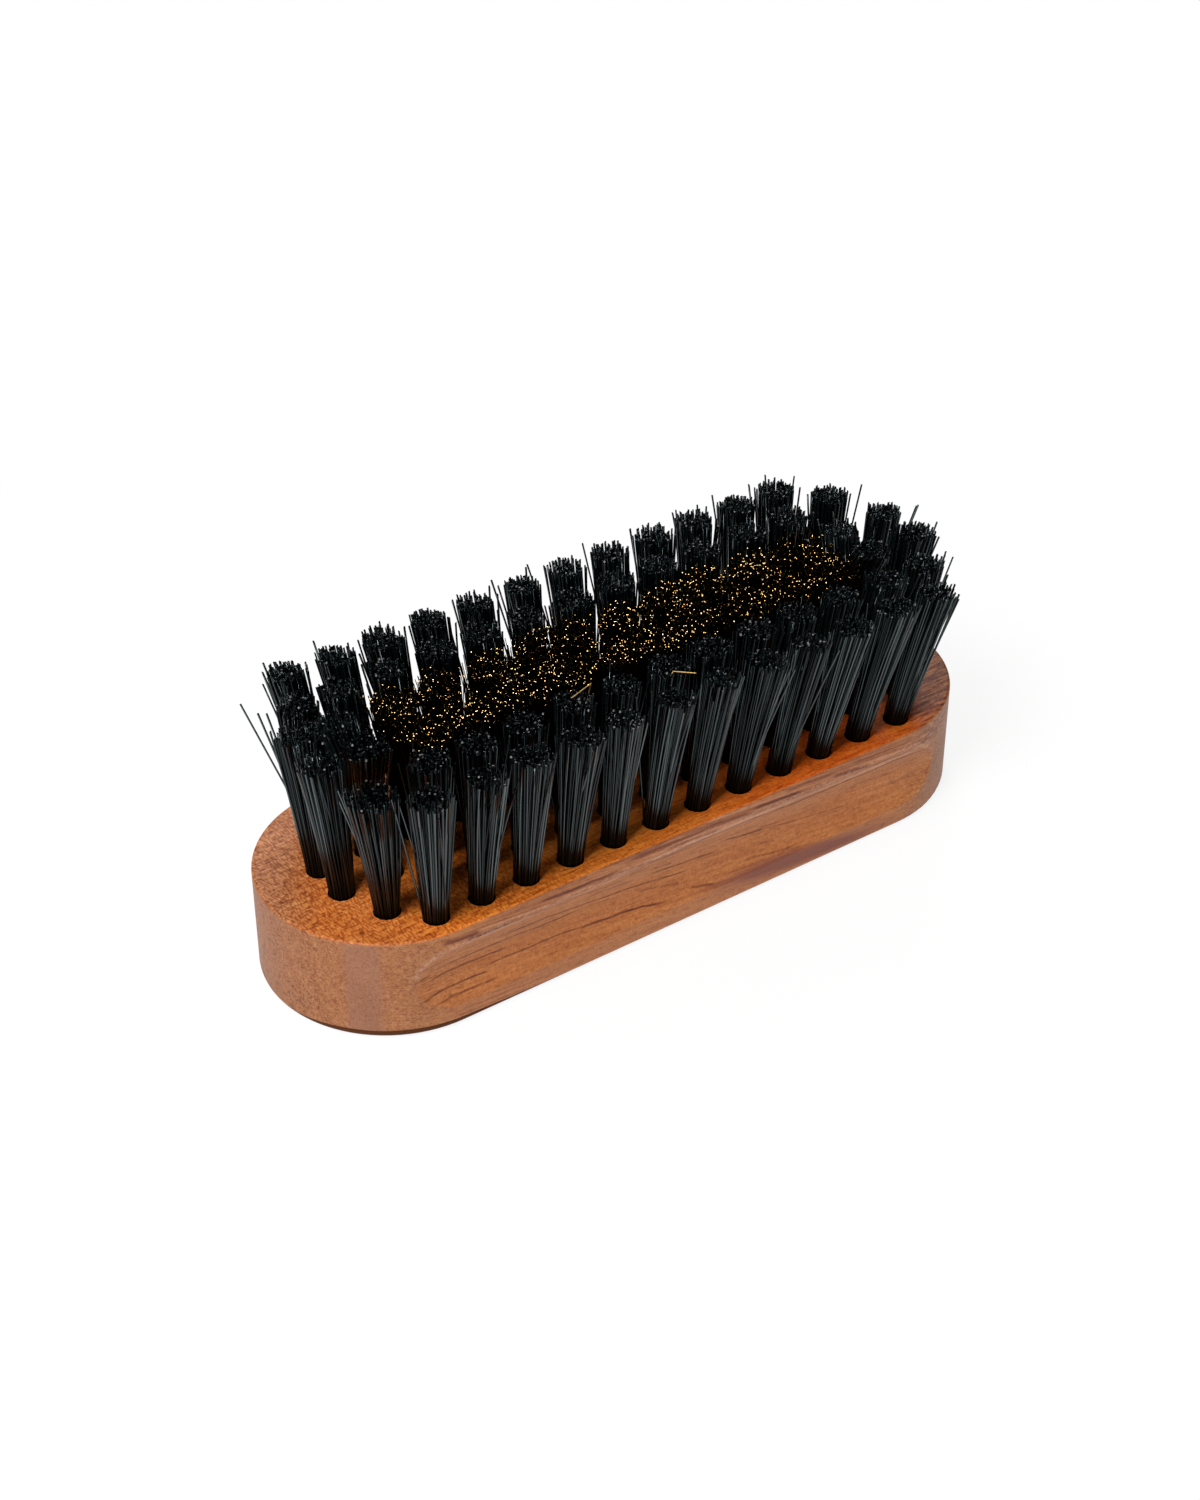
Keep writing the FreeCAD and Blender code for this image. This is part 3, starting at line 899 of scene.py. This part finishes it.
def with_patches(g, at, grain, colour):
    """A purple patch low on the front, and a greyer layer that comes out on the left end."""
    off = [g.math("SUBTRACT", *pair) for pair in zip((at.x, grain.height), PATCH_MIDDLE)]
    off = [g.times(part, 1 / half) for part, half in zip(off, PATCH_HALF)]
    far = g.math("ADD", g.length(*off), g.times(grain.fibres, 0.8))
    patch = g.times(g.rest(g.smooth(far, 0.85, 1.6)), g.smooth(at.y, *PATCH_SIDE_REACH), at.side)
    colour = g.paint(g.times(patch, 0.95), colour, PURPLE_TONE)
    layer = g.times(g.between(at.y, *GREY_LAYER, GREY_SOFT), at.side, g.smooth(at.x, *GREY_REACH))
    layer = g.times(layer, g.linear(grain.fibres, gain=0.6, base=0.22))
    return g.paint(layer, colour, GREY_TONE)


def painted_shadow_mask(g, at):
    """Where a contact shadow is painted along the lower edge: most at the left end, some at the right."""
    left = g.rest(g.smooth(at.x, *SHADOW_LEFT_REACH))
    left = g.times(left, g.linear(g.smooth(at.y, *SHADOW_FRONT_REACH), gain=0.65, base=0.35))
    right = g.linear(g.smooth(at.x, *SHADOW_RIGHT_REACH), gain=SHADOW_RIGHT_HEIGHT, base=SHADOW_LEAST_HEIGHT)
    height = g.math("ADD", g.times(left, SHADOW_LEFT_HEIGHT), right)
    return g.smooth(g.math("SUBTRACT", height, at.z), -SHADOW_SOFT, SHADOW_SOFT)


def with_wear_and_painted_light(g, at, grain, painted_shadow, colour):
    """The upper groove edge, paler as wear and as a painted highlight; a painted contact shadow along the
    lower edge; painted shade on the hole walls.
    """
    # The upper groove edge, paler as wear and as a painted highlight
    arris = g.math("MAXIMUM", at.inset, at.beside_groove)
    wear_and_highlight = g.rest(g.smooth(arris, *WEAR_AND_HIGHLIGHT_INSETS))
    wear_and_highlight = g.times(wear_and_highlight, at.side, g.smooth(at.z, *WEAR_AND_HIGHLIGHT_HEIGHTS), g.smooth(grain.speckle, 0.40, 0.62))
    colour = g.paint(g.times(wear_and_highlight, 0.22), colour, PALE_GRAIN_AND_HIGHLIGHT_TONE)
    # Painted contact shadow along the lower edge
    colour = g.paint(painted_shadow, colour, PAINTED_SHADOW_TONE)
    # Painted shade on the hole walls
    return g.paint(at.hole, colour, HOLE_PAINTED_SHADE)


def wood_material():
    """Reddish hardwood: growth layers across the block, fibres and pores along it, and edge wear, with
    painted light and shade: a highlight and a shadow line at the front groove's upper edge, a contact
    shadow at the lower edge, shade in the holes and on the face, bounce light on the face and a sheen on
    the front.
    """
    g = Graph("reddish_hardwood")
    at = wood_places(g)
    grain = wood_grain(g, at)
    # Painted contact shadow along the lower edge, which also dulls the gloss there
    painted_shadow = painted_shadow_mask(g, at)
    colour = bare_wood(g, at, grain)
    colour = with_lines(g, at, grain, colour)
    colour = with_streaks(g, at, grain, colour)
    colour = with_pores(g, at, grain, colour)
    colour = with_patches(g, at, grain, colour)
    colour = with_wear_and_painted_light(g, at, grain, painted_shadow, colour)
    relief = g.math("ADD", g.times(grain.fibres, 0.7), g.times(grain.grit, 0.4))
    relief = g.math("SUBTRACT", relief, g.times(grain.pores, 0.6))
    return g.finish(
        Base_Color=colour,
        Roughness=g.linear(grain.fibres, gain=0.2, base=0.38),
        Specular_IOR_Level=g.linear(painted_shadow, gain=-0.24, base=0.30),
        Normal=g.bump(relief, WOOD_RELIEF, strength=0.7),
    )


# Bristles, wires and anchors

NYLON_TONES = ((0.0, (0.0006, 0.0010, 0.0012)), (1.0, (0.0025, 0.0045, 0.0050)))
# Painted brown bounce of the wood on the nylon near its roots
NYLON_ROOT_PAINTED_BOUNCE = (0.003, 0.002, 0.001)
NYLON_SHEEN = (0.78, 0.98, 1.0)
NYLON_CUT_TONES = ((0.0, (0.001, 0.002, 0.002)), (1.0, (0.004, 0.006, 0.007)))
# The wires' sides are dark as tarnish and as painted shade; the top of the ramp is the bright brass of
# the loose strands
BRASS_TONES = (
    (0.0, (0.008, 0.004, 0.001)),
    (1 - LOOSE_TONE_ROOM, (0.042, 0.022, 0.004)),
    (1.0, (0.95, 0.66, 0.26)),
)
# Painted shade on the wires towards their roots
BRASS_ROOT_PAINTED_SHADE = (0.010, 0.005, 0.001)
BRASS_EDGE = (0.10, 0.05, 0.01)
BRIGHT_BRASS_EDGE = (1.0, 0.9, 0.7)
BRASS_CUT_TONES = (
    (0.0, (0.45, 0.23, 0.05)),
    (0.7, (0.68, 0.42, 0.14)),
    (1.0, (0.95, 0.78, 0.45)),
)
STEEL_TONES = ((0.2, (0.34, 0.33, 0.31)), (0.8, (0.55, 0.54, 0.52)))
STEEL_MARK_SCALE = (200.0, 9000.0, 9000.0)


def strand_value(g, name):
    """A value that each strand holds: its tone, or the share of its rise."""
    return g.node("Attribute", attribute_name=name).outputs["Fac"]


def nylon_material():
    """Black nylon with a dull gloss, with a painted brown bounce of the wood and less gloss where it
    leaves the wood.
    """
    g = Graph("black_nylon")
    tone = strand_value(g, "tone")
    root = g.rest(g.smooth(strand_value(g, "rise"), 0.05, 0.28))
    gleam = g.linear(g.times(tone, tone), gain=1.1, base=0.27)
    return g.finish(
        # Painted brown bounce of the wood near the roots
        Base_Color=g.paint(g.times(root, 0.7), g.ramp(tone, NYLON_TONES), NYLON_ROOT_PAINTED_BOUNCE),
        Roughness=g.linear(tone, gain=-0.08, base=0.24),
        Specular_IOR_Level=g.times(gleam, g.linear(root, gain=-0.8, base=1.0)),
        Specular_Tint=rgb(*NYLON_SHEEN),
    )


def nylon_cut_material():
    """Cut ends of the nylon."""
    g = Graph("black_nylon_cut")
    colour = g.ramp(strand_value(g, "tone"), NYLON_CUT_TONES)
    return g.finish(Base_Color=colour, Roughness=0.24, Specular_IOR_Level=0.2)


def brass_material():
    """Drawn brass wire, dark as tarnish and painted shade, and darker towards its root as painted shade,
    with bright loose strands.
    """
    g = Graph("drawn_brass")
    tone = strand_value(g, "tone")
    bright = g.smooth(tone, 1 - LOOSE_TONE_ROOM, 1.0)
    # Painted shade, darker towards the roots, except on loose strands
    painted_root_shade = g.rest(g.math("MAXIMUM", g.smooth(strand_value(g, "rise"), 0.45, 1.0), bright))
    return g.finish(
        Base_Color=g.paint(g.times(painted_root_shade, 0.85), g.ramp(tone, BRASS_TONES), BRASS_ROOT_PAINTED_SHADE),
        Metallic=1.0,
        Roughness=g.math("ADD", g.times(tone, 0.12), g.linear(bright, gain=0.33, base=0.20)),
        Specular_Tint=g.mix(bright, rgb(*BRASS_EDGE), rgb(*BRIGHT_BRASS_EDGE)),
    )


def brass_cut_material():
    """Bright cut ends of the brass wire."""
    g = Graph("drawn_brass_cut")
    colour = g.ramp(strand_value(g, "tone"), BRASS_CUT_TONES)
    return g.finish(Base_Color=colour, Metallic=1.0, Roughness=0.13)


def steel_material():
    """Flat tinned wire of the anchors, with drawing marks along it."""
    g = Graph("anchor_steel")
    marks = g.noise(g.stretch(g.node("TexCoord").outputs["Object"], *STEEL_MARK_SCALE), detail=2.0)
    gloss = g.linear(marks, gain=0.2, base=0.28)
    return g.finish(Base_Color=g.ramp(marks, STEEL_TONES), Metallic=1.0, Roughness=gloss)


# The pieces

def dress_block():
    """Give the block and the hidden anchors their materials."""
    for node, material in (("handle_block", wood_material()), ("anchor_staples", steel_material())):
        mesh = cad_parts[node].data
        mesh.materials.clear()
        mesh.materials.append(material)


def dress_tufts():
    """Replace each tuft node by its bundle of filaments."""
    nylon = (nylon_material(), nylon_cut_material())
    brass = (brass_material(), brass_cut_material())
    for seed, node in enumerate(sorted(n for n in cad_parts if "tuft" in n)):
        is_brass = node.startswith("brass")
        kind, materials, slot = (BRASS, brass, "brass_wire") if is_brass else (NYLON, nylon, "nylon")
        piece = make_bundle(node, kind, seed, *materials)
        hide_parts(node)
        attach(piece, "root")


# The studio

def outwards(turn, tilt):
    """Direction from the brush at an azimuth and an elevation."""
    level = math.cos(tilt)
    return Vector((math.sin(turn) * level, -math.cos(turn) * level, math.sin(tilt)))


def add_camera():
    """Camera at the photograph's place."""
    right = Vector((math.cos(CAMERA_AZIMUTH), math.sin(CAMERA_AZIMUTH), 0))
    back = outwards(CAMERA_AZIMUTH, CAMERA_ELEVATION)
    up = back.cross(right)
    data = bpy.data.cameras.new("camera")
    data.lens = CAMERA_LENS_MM
    data.clip_start = CAMERA_CLIP
    camera = bpy.data.objects.new("camera", data)
    target = Vector((0, 0, FACE))
    place = target + right * CAMERA_RIGHT + up * CAMERA_UP + back * CAMERA_DISTANCE
    camera.matrix_world = Matrix.Translation(place) @ Matrix((right, up, back)).transposed().to_4x4()
    bpy.context.scene.collection.objects.link(camera)
    bpy.context.scene.camera = camera


def add_softbox(name, azimuth, elevation, distance, size, watts):
    """A square soft lamp that faces the brush."""
    data = bpy.data.lights.new(name, "AREA")
    data.shape = "SQUARE"
    data.size = size
    data.energy = watts
    lamp = bpy.data.objects.new(name, data)
    towards = outwards(math.radians(azimuth), math.radians(elevation))
    lamp.location = Vector((0, 0, FACE)) + towards * distance
    lamp.rotation_euler = towards.to_track_quat("Z", "Y").to_euler()
    bpy.context.scene.collection.objects.link(lamp)


WHITE = (1.0, 1.0, 1.0)
FLOOR_TONE = (0.96, 0.96, 0.96)
FLOOR_HALF = 3.0
FLOOR_WHITE_SHARES = (0.86, 1.0)
FLOOR_WHITE_REACH = (70 * MM, 150 * MM)
WORLD_LIGHT = 0.18
CEILING = 0.05
CEILING_FROM = math.sin(math.radians(-1))
CEILING_ALL = math.sin(math.radians(3))


def any_of(g, *flags):
    """1 where any of the flags is 1."""
    first, *rest = flags
    for flag in rest:
        first = g.math("MAXIMUM", first, flag)
    return first


def add_floor():
    """White floor that keeps a faint shadow round the brush."""
    g = Graph("white_floor")
    lit = g.node("BsdfDiffuse", (("Color", rgb(*FLOOR_TONE)),)).outputs[0]
    white = g.node("Emission", (("Color", rgb(*WHITE)), ("Strength", 1.0))).outputs[0]
    path = g.node("LightPath").outputs
    seen = any_of(g, path["Is Camera Ray"], path["Is Glossy Ray"], path["Is Transmission Ray"])
    x, y, _ = g.node("SeparateXYZ", ((0, g.node("TexCoord").outputs["Object"]),)).outputs
    far = g.smooth(g.length(x, y), *FLOOR_WHITE_REACH)
    low, high = FLOOR_WHITE_SHARES
    share = g.linear(far, gain=high - low, base=low)
    both = g.node("MixShader", ((0, g.times(share, seen)), (1, lit), (2, white))).outputs[0]
    g.node("OutputMaterial", (("Surface", both),))
    mesh = bpy.data.meshes.new("floor")
    signs = ((-1, -1), (1, -1), (1, 1), (-1, 1))
    corners = [(i * FLOOR_HALF, j * FLOOR_HALF, BLOCK_LOW.z) for i, j in signs]
    mesh.from_pydata(corners, [], [(0, 1, 2, 3)])
    mesh.materials.append(g.material)
    floor = bpy.data.objects.new("floor", mesh)
    bpy.context.scene.collection.objects.link(floor)


def add_world():
    """White surroundings at a plain level of light, dark overhead where a gloss mirrors them."""
    world = bpy.data.worlds.new("studio")
    world.use_nodes = True
    g = Graph(tree=world.node_tree)
    path = g.node("LightPath").outputs
    rise = g.node("SeparateXYZ", ((0, g.node("TexCoord").outputs["Generated"]),)).outputs[2]
    ceiling = g.smooth(rise, CEILING_FROM, CEILING_ALL)
    mirrored = g.rest(g.times(ceiling, 1.0 - CEILING))
    mirror = any_of(g, path["Is Glossy Ray"], path["Is Transmission Ray"])
    lamp = g.times(g.rest(any_of(g, mirror, path["Is Camera Ray"])), WORLD_LIGHT)
    level = g.math("ADD", g.math("MAXIMUM", g.times(mirror, mirrored), path["Is Camera Ray"]), lamp)
    background = g.node("Background", (("Color", rgb(*WHITE)), ("Strength", level))).outputs[0]
    g.node("OutputWorld", (("Surface", background),))
    bpy.context.scene.world = world


dress_block()
dress_tufts()
add_camera()
add_floor()
add_world()
add_softbox("key", azimuth=-72, elevation=54, distance=0.7, size=0.3, watts=5.2)
add_softbox("fill", azimuth=-12, elevation=8, distance=0.8, size=0.4, watts=1.5)
add_softbox("back", azimuth=145, elevation=44, distance=0.8, size=0.3, watts=2.4)
bpy.context.scene.view_settings.view_transform = "Standard"
